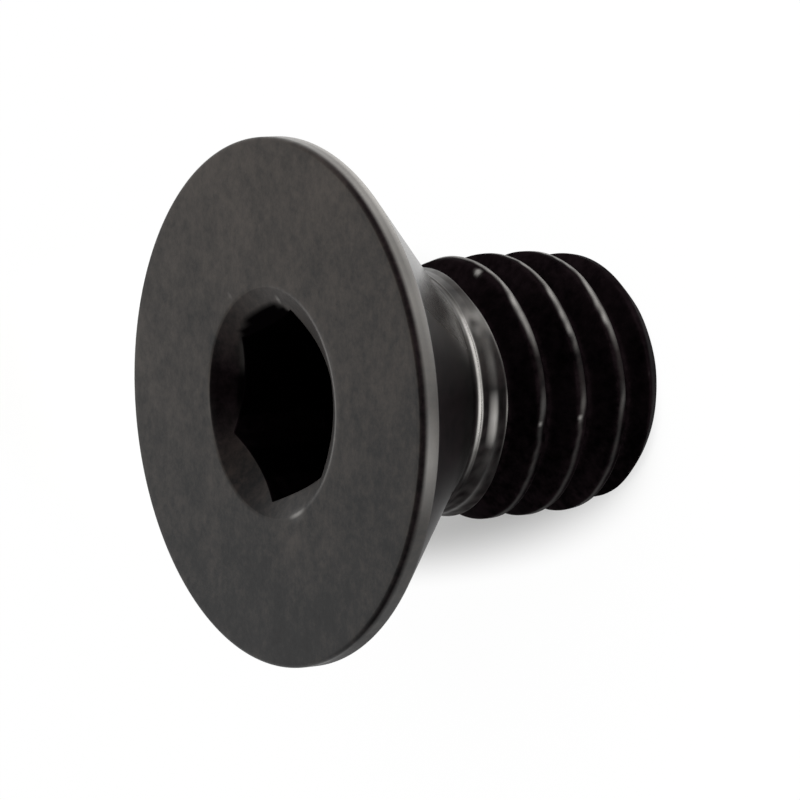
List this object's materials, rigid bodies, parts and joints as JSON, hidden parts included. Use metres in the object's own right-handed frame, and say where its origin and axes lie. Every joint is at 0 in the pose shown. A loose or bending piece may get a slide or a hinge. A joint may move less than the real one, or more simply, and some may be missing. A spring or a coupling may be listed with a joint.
{
  "type": "countersunk lug bolt",
  "caption": "Short countersunk bolt standing on its thread end: flat head with a hex socket, plain neck and a coarse right-hand thread.",
  "frame": {"origin": "centre of the flat at the thread end, on which the bolt stands", "axes": "+Z along the bolt's axis from the thread end to the head face; a corner of the hex socket points along +X"},
  "size_m": [0.015, 0.015, 0.0113],
  "materials": {
    "black_oxide_steel": "black oxide, satin"
  },
  "bodies": {
    "root": {"lug_bolt": "black_oxide_steel"}
  },
  "joints": []
}
